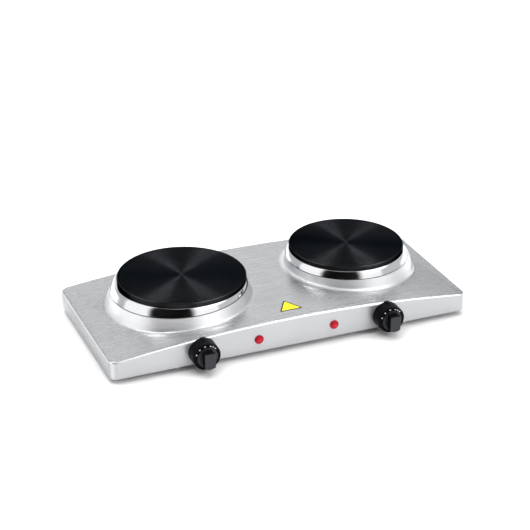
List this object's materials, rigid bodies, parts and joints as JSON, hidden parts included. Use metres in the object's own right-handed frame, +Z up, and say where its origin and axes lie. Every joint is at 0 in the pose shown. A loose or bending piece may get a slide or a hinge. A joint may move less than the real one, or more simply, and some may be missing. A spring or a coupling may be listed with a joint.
{
  "type": "hot plate burner",
  "caption": "Free-standing electric hot plate: arched steel housing with raised cast-iron plates of different sizes, rotary regulators and indicator lamps on the front.",
  "frame": {"origin": "middle of the whole object's box in plan, at the height of the rubber feet's undersides; the housing's own middle lies 14 mm behind it", "axes": "+X along the housing's length, towards the smaller plate; +Y away from the user, from the knobs to the back; +Z up"},
  "size_m": [0.53, 0.2724, 0.0778],
  "materials": {
    "base_steel": "plain galvanised sheet",
    "brass": "plain",
    "cam_plastic": "moulded",
    "ceramic": "unglazed",
    "coil_steel": "heat tinted",
    "earth_wire_cover": "green and yellow insulation",
    "foot_rubber": "moulded, matt",
    "gasket_rubber": "matt",
    "housing_steel": "brushed along the length",
    "inner_plastic": "moulded",
    "inner_steel": "galvanised",
    "knob_plastic": "satin moulded plastic",
    "lens_red": "clear red plastic",
    "mark_white": "white ink",
    "plate_iron": "black heat-proof coat over turned rings",
    "ring_chrome": "polished",
    "shaft_steel": "turned",
    "sticker_yellow": "printed film",
    "terminal_plastic": "moulded",
    "wire_cover": "silicone insulation",
    "zinc_steel": "zinc plated"
  },
  "bodies": {
    "body": {"base_plate": "base_steel", "base_screws": "zinc_steel", "cable_gland": "inner_plastic", "clamp_nuts": "inner_steel", "clamp_washers": "inner_steel", "earth_wire": "earth_wire_cover", "foot_nuts": "zinc_steel", "foot_screws": "zinc_steel", "gland_nut": "zinc_steel", "heater_wires": "wire_cover", "lamp_wires": "wire_cover", "large_clamp_bridge": "inner_steel", "large_element_filler": "ceramic", "large_heating_coils": "coil_steel", "large_hot_plate": "plate_iron", "large_plate_cover": "inner_steel", "large_ring_gasket": "gasket_rubber", "large_spill_ring": "ring_chrome", "large_terminal_block": "ceramic", "large_terminal_pins": "brass", "left_bezel": "knob_plastic", "left_lamp_body": "inner_plastic", "left_lamp_lens": "lens_red", "left_regulator_body": "inner_plastic", "left_regulator_cover": "inner_plastic", "left_regulator_nut": "brass", "left_regulator_terminals": "brass", "mains_terminal_block": "terminal_plastic", "mains_terminal_screws": "brass", "plate_studs": "inner_steel", "right_bezel": "knob_plastic", "right_lamp_body": "inner_plastic", "right_lamp_lens": "lens_red", "right_regulator_body": "inner_plastic", "right_regulator_cover": "inner_plastic", "right_regulator_nut": "brass", "right_regulator_terminals": "brass", "rubber_feet": "foot_rubber", "small_clamp_bridge": "inner_steel", "small_element_filler": "ceramic", "small_heating_coils": "coil_steel", "small_hot_plate": "plate_iron", "small_plate_cover": "inner_steel", "small_ring_gasket": "gasket_rubber", "small_spill_ring": "ring_chrome", "small_terminal_block": "ceramic", "small_terminal_pins": "brass", "supply_wires": "wire_cover", "top_housing": "housing_steel", "triangle_sticker": "sticker_yellow"},
    "left_control": {"left_knob": "knob_plastic", "left_knob_marks": "mark_white", "left_shaft": "shaft_steel", "left_cam": "cam_plastic"},
    "right_control": {"right_knob": "knob_plastic", "right_knob_marks": "mark_white", "right_shaft": "shaft_steel", "right_cam": "cam_plastic"}
  },
  "joints": [
    {"name": "left_knob_turn", "type": "hinge", "parent": "body", "child": "left_control", "pos_m": [-0.1365, -0.1052, 0.026], "axis": [0, 1, 0], "range_deg": [0, 285]},
    {"name": "right_knob_turn", "type": "hinge", "parent": "body", "child": "right_control", "pos_m": [0.1365, -0.1052, 0.026], "axis": [0, 1, 0], "range_deg": [0, 285]}
  ]
}
